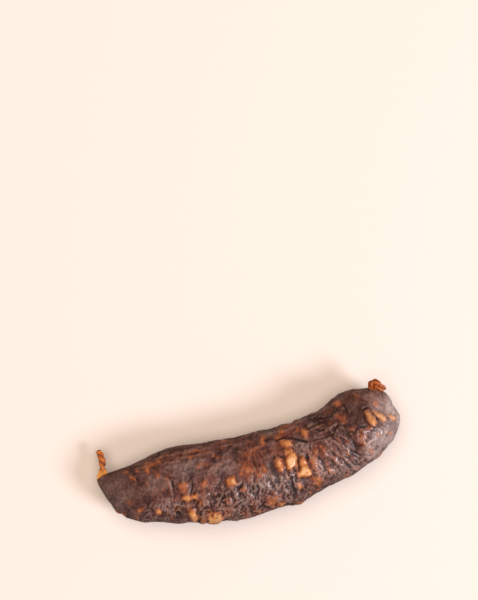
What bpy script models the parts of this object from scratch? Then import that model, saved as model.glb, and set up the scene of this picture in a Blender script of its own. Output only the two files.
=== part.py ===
"""A cured sausage link: coarse meat in a dried natural casing, twisted shut at both ends.

It lies on its flat underside. +X runs along the link, towards the end with the folded knot of casing,
+Y is the hollow side of its bend, +Z is up, and the origin is under the middle of its box.
"""

import math

import bmesh
import bpy
from mathutils import Vector, noise

MM = 0.001

# Driving dimensions
CASING_WIDTH = 36.0 * MM  # across the fullest stretch, seen from above
HEIGHT_SHARE = 0.9  # a lying link dries a little lower than it is wide
FLAT_DEPTH = 1.3 * MM  # how far the soft link settled before it set
TAIL_THICKNESS = 2.5 * MM  # the twist of casing drawn out of the pointed end
TAIL_FLARE = 0.95  # the twist fans out by this share where it springs from the link
TAIL_TURNS = 1.7
KNOT_THICKNESS = 4.2 * MM  # the last twist of casing, folded over on itself
KNOT_TURNS = 0.8
KNOT_NARROWING = 0.35  # share of its thickness that the knot loses towards its dry end
TIP_HEIGHT = 11.0 * MM  # middle of the pointed end, above the flat underside
KNOT_HEIGHT = 17.5 * MM  # middle of the round end, above the flat underside

# The middle of the filling seen from above, in millimetres from the middle of the bend. It is longer
# than a plain arc because both ends are pulled round by the casing that was twisted there.
CENTRELINE = (
    (-69.7, 13.8),
    (-64.2, 9.5),
    (-57.9, 6.0),
    (-50.1, 3.6),
    (-42.0, 2.2),
    (-26.0, -0.5),
    (-9.6, -3.1),
    (7.0, -3.8),
    (23.0, -2.6),
    (37.5, 0.3),
    (46.8, 3.7),
    (53.0, 8.3),
    (57.2, 13.6),
    (59.4, 17.4),
)
# Where the twist at each end runs, as (x, y, height): out of the skin and on to its own dry end
TAIL_ROUTE = (
    (-66.6, 12.4, 11.2),
    (-67.0, 14.8, 11.2),
    (-66.2, 18.2, 10.4),
    (-65.2, 21.0, 9.2),
    (-65.6, 23.9, 8.2),
    (-66.4, 26.0, 7.4),
)
KNOT_ROUTE = (
    (55.3, 15.6, 16.0),
    (57.3, 18.7, 17.8),
    (59.4, 19.7, 18.8),
    (61.3, 18.4, 18.8),
    (62.7, 17.1, 18.4),
    (64.1, 15.8, 17.6),
)
# How full the casing is along the link: (share of the centreline, share of CASING_WIDTH).
FULLNESS = (
    (0.00, 0.96),
    (0.20, 0.94),
    (0.38, 1.00),
    (0.55, 0.98),
    (0.66, 0.92),
    (0.82, 0.92),
    (1.00, 0.93),
)
POINTED_END = 0.33  # share of the centreline over which the first end narrows to its point
POINTED_POWER = 2.9  # how soon it is full again: 1 is a plain cone
ROUND_END = 0.15  # the other end closes like a ball over this share

# Relief left by the shrinking meat
LUMP_SIZE = 13.0 * MM
SMALL_LUMP_SIZE = 6.2 * MM
LUMP_HEIGHT = 0.75 * MM
FOLD_SIZE = 5.5 * MM
FOLD_HEIGHT = 0.3 * MM
FOLD_STRETCH = 2.4  # folds run this much longer across the link than along it
CALM_WIDTH = 11.0 * MM  # where the link is narrower than this, at its ends, the relief fades out

# Mesh density
LINK_ALONG = 64
LINK_AROUND = 44
TWIST_ALONG = 26
TWIST_AROUND = 18
CENTRELINE_STEPS = 48
CURVE_SAMPLES = 400

SKIN_COLOUR = (0.072, 0.037, 0.031, 1.0)
SKIN_ROUGHNESS = 0.48


def clear_scene():
    for obj in list(bpy.data.objects):
        bpy.data.objects.remove(obj)


def smooth_step(share):
    share = min(max(share, 0.0), 1.0)
    return share * share * (3.0 - 2.0 * share)


def catmull_rom(points, count):
    """An even walk of count points along the smooth curve that passes through the given ones."""
    before = points[0] * 2 - points[1]
    after = points[-1] * 2 - points[-2]
    knots = [before, *points, after]
    fine = []
    steps = max(2, count // (len(points) - 1))
    for a, b, c, d in zip(knots, knots[1:], knots[2:], knots[3:]):
        for step in range(steps):
            t = step / steps
            fine.append(
                0.5 * (2 * b + (c - a) * t + (2 * a - 5 * b + 4 * c - d) * t**2
                       + (3 * b - 3 * c + d - a) * t**3)
            )
    fine.append(points[-1].copy())
    return fine


class Path:
    """A smooth curve in space that can be asked for its point and direction at a share of its length."""

    def __init__(self, points):
        self.points = catmull_rom(points, CURVE_SAMPLES)
        self.reach = [0.0]
        for a, b in zip(self.points, self.points[1:]):
            self.reach.append(self.reach[-1] + (b - a).length)
        self.length = self.reach[-1]

    def at(self, share):
        target = min(max(share, 0.0), 1.0) * self.length
        low, high = 0, len(self.reach) - 1
        while high - low > 1:
            middle = (low + high) // 2
            if self.reach[middle] <= target:
                low = middle
            else:
                high = middle
        span = self.reach[high] - self.reach[low]
        return self.points[low].lerp(self.points[high], (target - self.reach[low]) / span)

    def frame(self, share, step=0.004):
        """(point, side, upward): side is level, and both are square to the path."""
        along = (self.at(share + step) - self.at(share - step)).normalized()
        side = along.cross(Vector((0, 0, 1))).normalized()
        return self.at(share), side, side.cross(along).normalized()


def stepped(table, share):
    """A value read smoothly from (share, value) pairs."""
    for (low, a), (high, b) in zip(table, table[1:]):
        if share <= high:
            return a + (b - a) * smooth_step((share - low) / (high - low))
    return table[-1][1]


def rolled_sheet(name, surface, along, around):
    """A closed skin: a flat grid whose long edges meet, laid on surface(share along, angle)."""
    bm = bmesh.new()
    bmesh.ops.create_grid(bm, x_segments=along, y_segments=around, size=1.0)
    for vert in bm.verts:
        share = (vert.co.x + 1.0) / 2.0
        angle = math.pi * vert.co.y
        vert.co = surface(share, angle)
    bmesh.ops.remove_doubles(bm, verts=bm.verts, dist=0.002 * MM)
    bmesh.ops.recalc_face_normals(bm, faces=bm.faces)
    mesh = bpy.data.meshes.new(name)
    bm.to_mesh(mesh)
    bm.free()
    mesh.shade_smooth()
    obj = bpy.data.objects.new(name, mesh)
    bpy.context.scene.collection.objects.link(obj)
    return obj


def end_spacing(share):
    """Crowds the rings towards both ends, where the outline turns fastest."""
    even_part = 0.35
    return even_part * share + (1.0 - even_part) * (1.0 - math.cos(math.pi * share)) / 2.0


def before_full(distance, reach):
    """1 at the very end of the link, 0 where the casing is full."""
    return 1.0 - min(distance / reach, 1.0)


def half_width(share):
    full = stepped(FULLNESS, share) * CASING_WIDTH / 2.0
    pointed = 1.0 - before_full(share, POINTED_END) ** POINTED_POWER
    rounded = math.sqrt(1.0 - before_full(1.0 - share, ROUND_END) ** 2)
    return full * pointed * rounded


def middle_height(share):
    """Height of the filling's middle: low where the link settled, lifted to each end's own height."""
    settled = CASING_WIDTH * HEIGHT_SHARE / 2.0 * stepped(FULLNESS, share) - FLAT_DEPTH
    first = before_full(share, POINTED_END) ** 2
    last = before_full(1.0 - share, ROUND_END) ** 2
    return settled + (TIP_HEIGHT - settled) * first + (KNOT_HEIGHT - settled) * last


def route_path(route):
    return Path([Vector(point) * MM for point in route])


def centreline_path():
    """The centreline raised to its height at every step."""
    plan = route_path([(x, y, 0.0) for x, y in CENTRELINE])
    points = []
    for step in range(CENTRELINE_STEPS + 1):
        share = step / CENTRELINE_STEPS
        points.append(plan.at(share) + Vector((0, 0, middle_height(share))))
    return Path(points)


def relief(place, along):
    """How far the skin stands out: soft lumps, and narrower folds that run across the link."""
    lumps = noise.noise(place / LUMP_SIZE) + 0.5 * noise.noise(place / SMALL_LUMP_SIZE)
    along_part = along * place.dot(along)
    across_part = place - along_part
    folds = noise.noise((along_part + across_part / FOLD_STRETCH) / FOLD_SIZE)
    return LUMP_HEIGHT * lumps - FOLD_HEIGHT * abs(folds) * 2.0


def link_surface(path):
    """The skin of the link, with its underside pressed flat by its own weight."""

    def surface(share, angle):
        spaced = end_spacing(share)
        centre, side, upward = path.frame(spaced)
        along = upward.cross(side)
        wide = half_width(spaced)
        outward = side * math.cos(angle) * wide + upward * math.sin(angle) * wide * HEIGHT_SHARE
        place = centre + outward
        if wide > 0.0:
            depth_share = smooth_step(wide / CALM_WIDTH)
            place = place + outward.normalized() * relief(place, along) * depth_share
        place.z = max(place.z, 0.0)
        return place

    return surface


def twist_surface(path, thickness, turns, lobes, lobe_depth, swell):
    """A rope of dried casing: a lobed outline that turns as it goes. swell(share) scales it."""

    def surface(share, angle):
        centre, side, upward = path.frame(share, step=0.02)
        lobe = 1.0 - lobe_depth * (0.5 - 0.5 * math.cos(lobes * (angle - turns * math.tau * share)))
        radius = thickness / 2.0 * lobe * swell(share)
        return centre + (side * math.cos(angle) + upward * math.sin(angle)) * radius

    return surface


def rounded_stub(share, start, end):
    """1 along a twist, 0 at both tips, so that its skin closes."""
    near_start = min(1.0, share / start)
    near_end = min(1.0, (1.0 - share) / end)
    return math.sqrt(max(0.0, near_start * near_end))


def build_tail():
    """The twist at the pointed end, flared where it springs from the link."""
    full_flare, no_flare = 0.2, 0.5

    def swell(share):
        flare = smooth_step((no_flare - share) / (no_flare - full_flare))
        return (1.0 + TAIL_FLARE * flare) * rounded_stub(share, start=0.06, end=0.05)

    surface = twist_surface(
        route_path(TAIL_ROUTE), TAIL_THICKNESS, TAIL_TURNS, lobes=2, lobe_depth=0.3, swell=swell
    )
    return rolled_sheet("tail", surface, TWIST_ALONG, TWIST_AROUND)


def build_knot():
    """The stub of twisted casing at the round end, folded over and dried against the skin."""

    def swell(share):
        narrowing = 1.0 - KNOT_NARROWING * smooth_step(2.0 * share - 1.0)
        return narrowing * rounded_stub(share, start=0.08, end=0.2)

    surface = twist_surface(
        route_path(KNOT_ROUTE), KNOT_THICKNESS, KNOT_TURNS, lobes=3, lobe_depth=0.2, swell=swell
    )
    return rolled_sheet("knot", surface, TWIST_ALONG, TWIST_AROUND)


def fuse(base, extra):
    """Joins extra to base with a Boolean union, which stays live. The helper is left out of the part."""
    union = base.modifiers.new("join_" + extra.name, "BOOLEAN")
    union.operation = "UNION"
    union.object = extra
    extra.hide_render = True
    extra.display_type = "WIRE"


def skin_material():
    material = bpy.data.materials.new("dried_casing_over_meat")
    material.use_nodes = True
    shader = material.node_tree.nodes["Principled BSDF"]
    shader.inputs["Base Color"].default_value = SKIN_COLOUR
    shader.inputs["Roughness"].default_value = SKIN_ROUGHNESS
    shader.inputs["Metallic"].default_value = 0.0
    return material


def centre_on_box(objects):
    """Moves the meshes so that the origin lies under the middle of the whole link's box."""
    corners = [vert.co for obj in objects for vert in obj.data.vertices]
    middle_x = (min(c.x for c in corners) + max(c.x for c in corners)) / 2.0
    middle_y = (min(c.y for c in corners) + max(c.y for c in corners)) / 2.0
    for obj in objects:
        for vert in obj.data.vertices:
            vert.co -= Vector((middle_x, middle_y, 0.0))
        obj.data.update()


def main():
    clear_scene()
    sausage = rolled_sheet("sausage", link_surface(centreline_path()), LINK_ALONG, LINK_AROUND)
    tail = build_tail()
    knot = build_knot()
    centre_on_box((sausage, tail, knot))
    fuse(sausage, tail)
    fuse(sausage, knot)
    sausage.data.materials.append(skin_material())


main()
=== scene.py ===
# %% [markdown]
# # A cured sausage link, twisted shut at both ends
#
# Coarsely cut dark meat and fat are stuffed into a natural casing and hung up to dry. The meat
# shrinks, the casing follows it down and wrinkles, and each piece of fat stays behind as an amber
# lump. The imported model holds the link's true size and place. This script loads it as a fixed
# frame and makes the fine surface in its stead.
#
# Everything is in metres. Sizes are written in millimetres, times MM.

import math

import bmesh
import bpy
import numpy as np
from mathutils import Euler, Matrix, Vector, noise


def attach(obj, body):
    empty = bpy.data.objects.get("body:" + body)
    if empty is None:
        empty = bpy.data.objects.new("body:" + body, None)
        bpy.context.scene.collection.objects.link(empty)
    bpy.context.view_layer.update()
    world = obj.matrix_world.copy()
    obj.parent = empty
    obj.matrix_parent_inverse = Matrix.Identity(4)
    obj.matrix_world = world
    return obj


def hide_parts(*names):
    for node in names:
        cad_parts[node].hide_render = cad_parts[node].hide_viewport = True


MM = 0.001
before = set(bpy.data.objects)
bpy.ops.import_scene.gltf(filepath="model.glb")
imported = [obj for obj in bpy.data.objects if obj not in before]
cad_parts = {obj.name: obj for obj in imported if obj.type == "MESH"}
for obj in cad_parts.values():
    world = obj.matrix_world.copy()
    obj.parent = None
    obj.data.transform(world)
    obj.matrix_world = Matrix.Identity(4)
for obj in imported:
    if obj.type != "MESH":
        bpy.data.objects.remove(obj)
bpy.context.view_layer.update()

# %% [markdown]
# ## The plan
#
# Looking straight down gives a plan of the link. Its millimetres are counted from the middle of
# the bend, along and across the link, because lumps and creases are easiest to find there. One
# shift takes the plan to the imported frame, whose origin is under the middle of the whole box. The
# photograph shows the same plan turned and scaled, so one function leads from its pixels to the
# plan.

# %% The plan and the photograph
PLAN_SHIFT = np.array((1.77, -2.316, 0.0)) * MM
LINK_TURN = math.radians(16.7)  # the link climbs to the right by this angle in the photograph
MM_PER_PIXEL = 0.44
BEND_PIXEL = (257.3, 465.0)  # the plan's zero point
PHOTO_SIZE = (478, 600)


def plan_of_pixel(x, y):
    right = (x - BEND_PIXEL[0]) * MM_PER_PIXEL * MM
    up = (BEND_PIXEL[1] - y) * MM_PER_PIXEL * MM
    along = right * math.cos(LINK_TURN) + up * math.sin(LINK_TURN)
    across = up * math.cos(LINK_TURN) - right * math.sin(LINK_TURN)
    return np.array((along, across, 0.0)) + PLAN_SHIFT


photo_middle = plan_of_pixel(PHOTO_SIZE[0] / 2, PHOTO_SIZE[1] / 2)
print("middle of the view, mm:", np.round(photo_middle / MM, 1))

# %% [markdown]
# ## The camera
#
# The photograph looks straight down on the link. A longish lens keeps the outline free of
# perspective. The camera is rolled rather than the link, because the link has to stay in the
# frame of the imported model.

# %% Camera straight above
LENS = 85.0
SENSOR = 36.0
SCALE_HEIGHT = 15.0 * MM  # the level of the outline, where the scale has to be right

camera_data = bpy.data.cameras.new("camera")
camera_data.lens = LENS
camera_data.sensor_width = SENSOR
camera = bpy.data.objects.new("camera", camera_data)
bpy.context.scene.collection.objects.link(camera)
view_height = PHOTO_SIZE[1] * MM_PER_PIXEL * MM
camera_rise = SCALE_HEIGHT + view_height * LENS / SENSOR
camera.location = (photo_middle[0], photo_middle[1], camera_rise)
camera.rotation_euler = (0.0, 0.0, -LINK_TURN)
bpy.context.scene.camera = camera
print("camera height, m:", round(camera_rise, 3))

# %% [markdown]
# ## Colours, nodes and materials
#
# Colours are picked as they look on a screen, in sRGB, but shaders count in linear light, so one
# function turns them. A second one adds any node to a material with its settings and links. A
# third starts a material, whose Principled shader stands for any opaque surface.

# %% Three helpers


def linear(hex_colour, alpha=1.0):
    """An sRGB hex colour as the linear numbers that shaders want."""
    channels = [int(hex_colour[i : i + 2], 16) / 255.0 for i in (1, 3, 5)]
    curve = [c / 12.92 if c <= 0.04045 else ((c + 0.055) / 1.055) ** 2.4 for c in channels]
    return (*curve, alpha)


def add(tree, kind, inputs=None, output=0, stops=None, **settings):
    """Adds a node, sets or links its inputs, fills its ramp, and returns one of its outputs."""
    made = tree.nodes.new(kind)
    for name, value in settings.items():
        setattr(made, name, value)
    for name, value in (inputs or {}).items():
        if isinstance(value, bpy.types.NodeSocket):
            tree.links.new(value, made.inputs[name])
        else:
            made.inputs[name].default_value = value
    if stops:
        elements = made.color_ramp.elements
        while len(elements) < len(stops):
            elements.new(0.5)
        for element, (position, colour) in zip(elements, stops):
            element.position = position
            element.color = colour
    return made.outputs[output]


def new_material(name):
    """An empty Principled material: (material, its tree, its shader)."""
    material = bpy.data.materials.new(name)
    material.use_nodes = True
    return material, material.node_tree, material.node_tree.nodes["Principled BSDF"]


print("amber in linear light:", [round(channel, 3) for channel in linear("#cb7335")])

# %% [markdown]
# ## Floor and light
#
# The floor is plain and pale. A lamp low on the right is the window of the photograph: it leaves
# the far side of the link dark and lays a soft shadow there. It stands far off, so the light
# hardly falls off over the floor. A very wide one overhead and the sky fill in. Satin skin
# mirrors whatever is large and bright, and too much of that reads as dust. So the wide lamp and
# the floor don't show in the gloss, and only the window makes glints. The floor's matt paint
# scatters light evenly, so the eye sees a calm ground without reflections.

# %% Floor
FLOOR_SIZE = 12.0
FLOOR_DROP = 0.05 * MM  # keeps the floor from fighting with the flat underside

bm = bmesh.new()
bmesh.ops.create_grid(bm, x_segments=1, y_segments=1, size=FLOOR_SIZE / 2)
bmesh.ops.translate(bm, verts=bm.verts, vec=(0, 0, -FLOOR_DROP))
floor_mesh = bpy.data.meshes.new("floor")
bm.to_mesh(floor_mesh)
bm.free()
floor = bpy.data.objects.new("floor", floor_mesh)
bpy.context.scene.collection.objects.link(floor)
floor_material, _, floor_shader = new_material("matt_cream_paint")
floor_shader.inputs["Base Color"].default_value = linear("#e9e4e3")
floor_shader.inputs["Roughness"].default_value = 0.9
floor_mesh.materials.append(floor_material)
print("floor, m:", FLOOR_SIZE)

# %% [markdown]
# ## Lamps
#
# Each lamp is placed by where it stands in the photograph's view and how high, and turned to the
# link. The size of a lamp sets how soft its shadow is, and its power how bright it is.

# %% Lamps and sky


def add_lamp(name, azimuth, elevation, distance, size, power, colour):
    """An area lamp aimed at the link. Azimuth 0 is the photograph's right, and 90 is its top."""
    turn = math.radians(azimuth) - LINK_TURN
    lift = math.radians(elevation)
    flat = math.cos(lift) * distance
    place = Vector((math.cos(turn) * flat, math.sin(turn) * flat, math.sin(lift) * distance))
    data = bpy.data.lights.new(name, "AREA")
    data.shape = "DISK"
    data.size = size
    data.energy = power
    data.color = linear(colour)[:3]
    lamp = bpy.data.objects.new(name, data)
    bpy.context.scene.collection.objects.link(lamp)
    lamp.location = place
    lamp.rotation_euler = place.to_track_quat("Z", "Y").to_euler()
    return lamp


add_lamp("window", azimuth=-20, elevation=40, distance=2.4, size=0.82, power=37.5, colour="#fcf8ff")
ceiling = add_lamp("ceiling", azimuth=100, elevation=80, distance=2.2, size=2.2, power=47.5,
                   colour="#ffe8d2")
ceiling.visible_glossy = False  # it only fills the shadows: the gloss shows the window and the room
floor.visible_glossy = False  # or every edge of the link would mirror the pale floor

world = bpy.data.worlds.new("soft_room")
world.use_nodes = True
world.node_tree.nodes["Background"].inputs["Color"].default_value = linear("#ffead6")
world.node_tree.nodes["Background"].inputs["Strength"].default_value = 0.20
bpy.context.scene.world = world
bpy.context.scene.view_settings.view_transform = "Standard"

# %% [markdown]
# ## The run of the link
#
# A link is a tube round a bent line, full in the middle and drawn in at both ends. The same line
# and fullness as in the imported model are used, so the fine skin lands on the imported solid. A
# smooth curve through a dozen points is easier to adjust than a mesh, and every later step can
# ask it for a place.

# %% Centreline and fullness
CASING_WIDTH = 36.0 * MM
HEIGHT_SHARE = 0.9
FLAT_DEPTH = 1.3 * MM
TIP_HEIGHT = 11.0 * MM
KNOT_HEIGHT = 17.5 * MM
CENTRELINE = (
    (-69.7, 13.8), (-64.2, 9.5), (-57.9, 6), (-50.1, 3.6), (-42, 2.2), (-26, -0.5), (-9.6, -3.1),
    (7, -3.8), (23, -2.6), (37.5, 0.3), (46.8, 3.7), (53, 8.3), (57.2, 13.6), (59.4, 17.4),
)
FULLNESS = (
    (0, 0.96), (0.2, 0.94), (0.38, 1), (0.55, 0.98), (0.66, 0.92), (0.82, 0.92), (1, 0.93)
)
POINTED_END, POINTED_POWER = 0.33, 2.9
ROUND_END = 0.15
print("points of the centreline:", len(CENTRELINE))

# %% [markdown]
# ## Curves and stations
#
# A line through given points can be a Blender curve, a mesh or plain numbers. Numbers are used
# here, because every later step asks for a place between them. A cubic curve runs from each point
# to the next in the direction of its neighbours, so the whole line is smooth and passes through
# every one. A smooth step is the other tool used all over this script: it leads from 0 to 1
# without a kink.

# %% Read curves and stations
CURVE_STEPS = 40  # between two given points
SPINE_POINTS = 481


def smooth_step(share):
    share = np.clip(share, 0.0, 1.0)
    return share * share * (3.0 - 2.0 * share)


def smooth_curve(points, count):
    """As many points as count, evenly spaced, on a smooth curve through the given ones."""
    points = np.array(points, float)
    knots = np.vstack((2 * points[0] - points[1], points, 2 * points[-1] - points[-2]))
    fine = []
    for a, b, c, d in zip(knots, knots[1:], knots[2:], knots[3:]):
        t = np.linspace(0.0, 1.0, CURVE_STEPS, endpoint=False)[:, None]
        fine.append(0.5 * (2 * b + (c - a) * t + (2 * a - 5 * b + 4 * c - d) * t**2
                           + (3 * b - 3 * c + d - a) * t**3))
    fine = np.vstack((*fine, points[-1:]))
    reach = np.concatenate(([0.0], np.cumsum(np.linalg.norm(np.diff(fine, axis=0), axis=1))))
    even = np.linspace(0.0, reach[-1], count)
    return np.stack([np.interp(even, reach, fine[:, axis]) for axis in range(3)], axis=1)


def read_curve(curve, share):
    """Points of an evenly spaced curve at shares of its length."""
    at = np.clip(share, 0.0, 1.0) * (len(curve) - 1)
    steps = np.arange(len(curve))
    return np.stack([np.interp(at, steps, curve[:, axis]) for axis in range(3)], axis=1)


def read_stations(table, share):
    """A value read smoothly from (share, value) pairs."""
    stations, values = np.array(table).T
    after = np.clip(np.searchsorted(stations, share), 1, len(stations) - 1)
    span = (share - stations[after - 1]) / (stations[after] - stations[after - 1])
    return values[after - 1] + (values[after] - values[after - 1]) * smooth_step(span)


print("fullness half way along:", round(float(read_stations(FULLNESS, 0.5)), 3))

# %% [markdown]
# ## Width and height
#
# The pointed end draws in slowly, with a long flank, and the round end quickly, like half a ball.
# The link settled while it dried, so it is a little less high than wide and has a small flat
# underneath. Both ends rise a little from the ground, because the dried casing holds them up.

# %% The middle line


def before_full(distance, reach):
    """1 at the very end of the link, 0 where the casing is full."""
    return 1.0 - np.clip(distance / reach, 0.0, 1.0)


def half_width(share):
    pointed = 1.0 - before_full(share, POINTED_END) ** POINTED_POWER
    rounded = np.sqrt(1.0 - before_full(1.0 - share, ROUND_END) ** 2)
    return read_stations(FULLNESS, share) * CASING_WIDTH / 2 * pointed * rounded


def middle_height(share):
    settled = CASING_WIDTH * HEIGHT_SHARE / 2 * read_stations(FULLNESS, share) - FLAT_DEPTH
    first = before_full(share, POINTED_END) ** 2
    last = before_full(1.0 - share, ROUND_END) ** 2
    return settled + (TIP_HEIGHT - settled) * first + (KNOT_HEIGHT - settled) * last


plan_curve = smooth_curve([(x * MM, y * MM, 0.0) for x, y in CENTRELINE], SPINE_POINTS)
plan_curve[:, 2] = middle_height(np.linspace(0.0, 1.0, len(plan_curve)))
spine = smooth_curve(plan_curve + PLAN_SHIFT, SPINE_POINTS)
spine_length = np.linalg.norm(np.diff(spine, axis=0), axis=1).sum()
print("length along the middle, mm:", round(spine_length / MM, 1))

# %% [markdown]
# ## The bare skin
#
# A flat grid whose long edges meet becomes a tube: one direction of the grid runs along the link,
# the other once round it, with the join on the underside. A grid from one operator gives even
# little quads, and they stay in rows, which makes it easy to smooth values over the skin later
# on. The rows are closer together on top, where the eye is.

# %% Helpers for a grid
SKIN_ALONG = 470
SKIN_AROUND = 208


def grid_mesh(name, along, around):
    """A flat grid, with each vertex's two places on it from 0 to 1: (mesh, share, around)."""
    bm = bmesh.new()
    bmesh.ops.create_grid(bm, x_segments=along, y_segments=around, size=1.0)
    mesh = bpy.data.meshes.new(name)
    bm.to_mesh(mesh)
    bm.free()
    flat = np.zeros(len(mesh.vertices) * 3)
    mesh.vertices.foreach_get("co", flat)
    flat = np.round(flat.reshape(-1, 3), 6)  # a last digit off would leave a pinhole at a pole
    return mesh, (flat[:, 0] + 1.0) / 2.0, (flat[:, 1] + 1.0) / 2.0


def write_points(mesh, points):
    mesh.vertices.foreach_set("co", points.ravel())
    mesh.update()


def write_value(mesh, name, values):
    """Stores one number for each vertex, for a material to read."""
    mesh.attributes.new(name, "FLOAT", "POINT").data.foreach_set("value", values.astype(np.float32))


def unit(vectors):
    return vectors / np.maximum(np.linalg.norm(vectors, axis=-1, keepdims=True), 1e-12)


def frame_of(curve, share, step=0.004):
    """Points on a curve with its direction, a level side direction and their square upward one."""
    along = unit(read_curve(curve, share + step) - read_curve(curve, share - step))
    side = unit(np.cross(along, (0.0, 0.0, 1.0)))
    return read_curve(curve, share), along, side, np.cross(side, along)


print("quads of the skin:", SKIN_ALONG * SKIN_AROUND)

# %% [markdown]
# ## From the grid to the tube
#
# One place on the grid becomes a station along the link, with the rings crowded a little towards
# both ends, where the form turns quickly. The other becomes an angle round it. The direction
# outwards is kept as well, because every wrinkle is raised along it.

# %% Bare skin
TOP_CROWDING = 0.4  # share by which the rows on top are closer together than evenly spaced ones
END_EVEN = 0.5  # share of even spacing; the rest crowds the rings towards both ends

skin_mesh, skin_share, skin_turn = grid_mesh("skin", SKIN_ALONG, SKIN_AROUND)
ring_share = END_EVEN * skin_share + (1 - END_EVEN) * (1 - np.cos(math.pi * skin_share)) / 2
round_turn = 2.0 * skin_turn - 1.0
round_turn = round_turn * (1.0 - TOP_CROWDING) + TOP_CROWDING * round_turn**3
skin_angle = math.pi / 2 + math.pi * round_turn
centre, along, side, upward = frame_of(spine, ring_share)
radius = half_width(ring_share)
outward = side * np.cos(skin_angle)[:, None] + upward * np.sin(skin_angle)[:, None] * HEIGHT_SHARE
bare = centre + outward * radius[:, None]
bare_normal = unit(side * np.cos(skin_angle)[:, None] * HEIGHT_SHARE
                   + upward * np.sin(skin_angle)[:, None])
print("skin vertices:", len(bare))

# %% [markdown]
# ## Where the camera sees each place
#
# The camera is near enough for the raised middle of the link to look shifted on the plan. Lumps
# and creases were found in the photograph, so they are laid where they are seen: each vertex is
# followed along its line of sight down to the level at which the plan was measured.

# %% Seen places
camera_place = np.array((photo_middle[0], photo_middle[1], camera_rise))
sight = (camera_rise - SCALE_HEIGHT) / (camera_rise - bare[:, 2:3])
seen = (camera_place + (bare - camera_place) * sight - PLAN_SHIFT)[:, :2] / MM
from_above = smooth_step((bare_normal[:, 2] + 0.05) / 0.15)  # 1 where the photograph shows the skin
round_the_side = smooth_step((bare_normal[:, 2] + 0.6) / 0.75)  # lets tints fade out on the sides
rows = (SKIN_AROUND + 1, SKIN_ALONG + 1)  # of vertices, each row along the link
skin_u = ring_share * spine_length / MM
skin_v = (skin_angle - math.pi / 2) * radius / MM
print("rows and vertices in each:", rows)
print("vertices seen from above:", int((from_above > 0.5).sum()))

# %% [markdown]
# ## Noise over the skin
#
# Wrinkles could be sculpted or painted by hand, but noise gives thousands of them at once, uneven
# like natural ones. Blender's noise fills space, so it has no seam on a tube. Streaks are the
# exception: they are drawn out on the unrolled skin, which has a seam underneath, and one
# function makes both sides of it agree.

# %% Helpers for noise
NOISE_TURN = np.array(Euler((0.6, 0.45, 0.9)).to_matrix())  # keeps its grid askew to the link
SEED_STEP = np.array((7.31, 3.17, 5.73))  # another seed reads another part of the noise


def noise_at(points, size, seed=0.0):
    """Smooth noise from about -1 to 1, with features of the given size."""
    shifted = points @ NOISE_TURN / size + seed * SEED_STEP
    return np.array([noise.noise(place) for place in shifted.tolist()])


def streaks_at(size, stretch, turn, seed, wavy=0.35):
    """Noise drawn out along the skin. The turn is 0 along the link and 90 degrees across it."""
    turn = math.radians(turn)
    lengthwise = skin_u * math.cos(turn) + skin_v * math.sin(turn)
    crosswise = skin_v * math.cos(turn) - skin_u * math.sin(turn)
    flat = np.stack((lengthwise / stretch, crosswise, np.zeros(len(bare))), axis=1)
    return noise_at(flat + wavy * warp / MM, size, seed)


def pebbles_at(points, size, seed):
    """Domes with sharp valleys between them: 0 in a valley, 1 on top of a dome."""
    shifted = points @ NOISE_TURN / size + seed * SEED_STEP
    edges = [noise.voronoi(place)[0] for place in shifted.tolist()]
    return smooth_step(np.array([second - first for first, second, *_ in edges]) / 0.55)


def ridges_of(values):
    """Turns noise into thin ridges: 1 on each of them, 0 well away from it."""
    return np.clip(1.0 - 1.7 * np.abs(values), 0.0, 1.0) ** 2


def close_seam(values, reach=10):
    """Makes the first and last rows agree, which are one place, and eases the change out."""
    field = values.reshape(rows)
    gap = (field[-1] - field[0]) / 2
    ease = smooth_step(1.0 - np.arange(reach) / reach)[:, None]
    field[:reach] += gap * ease
    field[::-1][:reach] -= gap * ease
    return field.ravel()


warp = np.stack([noise_at(bare, 5.0 * MM, seed) for seed in (1, 2, 3)], axis=1) * 2.0 * MM
print("warp goes up to, mm:", round(float(np.abs(warp).max()) / MM, 2))

# %% [markdown]
# ## Soft patches
#
# A link isn't the same all over, and what is strong in one place is missing in another. A painted
# mask could say where, but an oval with an uneven, soft rim is enough for each place, and a table
# of ovals is easy to adjust.

# %% Helpers for patches
patch_noise = noise_at(bare, 5.5 * MM, 8) + 0.5 * noise_at(bare, 2.6 * MM, 9)


def patch(x, y, size_x, size_y):
    """1 in the middle of an uneven patch on the seen plan, 0 well outside its rim."""
    distance = np.hypot((seen[:, 0] - x) / (size_x / 2), (seen[:, 1] - y) / (size_y / 2))
    return smooth_step(1.5 - distance * (1.0 + 0.35 * patch_noise)) * round_the_side


def patches(table):
    """The strongest of several patches: (x, y, size x, size y, amount)."""
    return np.max([amount * patch(x, y, wide, tall) for x, y, wide, tall, amount in table], axis=0)


print("noise at the rims, up to:", round(float(np.abs(patch_noise).max()), 2))

# %% [markdown]
# ## Zones of wrinkles
#
# The casing didn't shrink the same everywhere. The pointed third dried almost smooth. The low
# side of the middle is crumpled like paper, the part before the round end is pulled into fine
# folds across the link, and the hollow side into long streaks. Soft patches on the seen plan say
# where each kind is strong. What can't be seen is crumpled here and there by chance.

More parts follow.
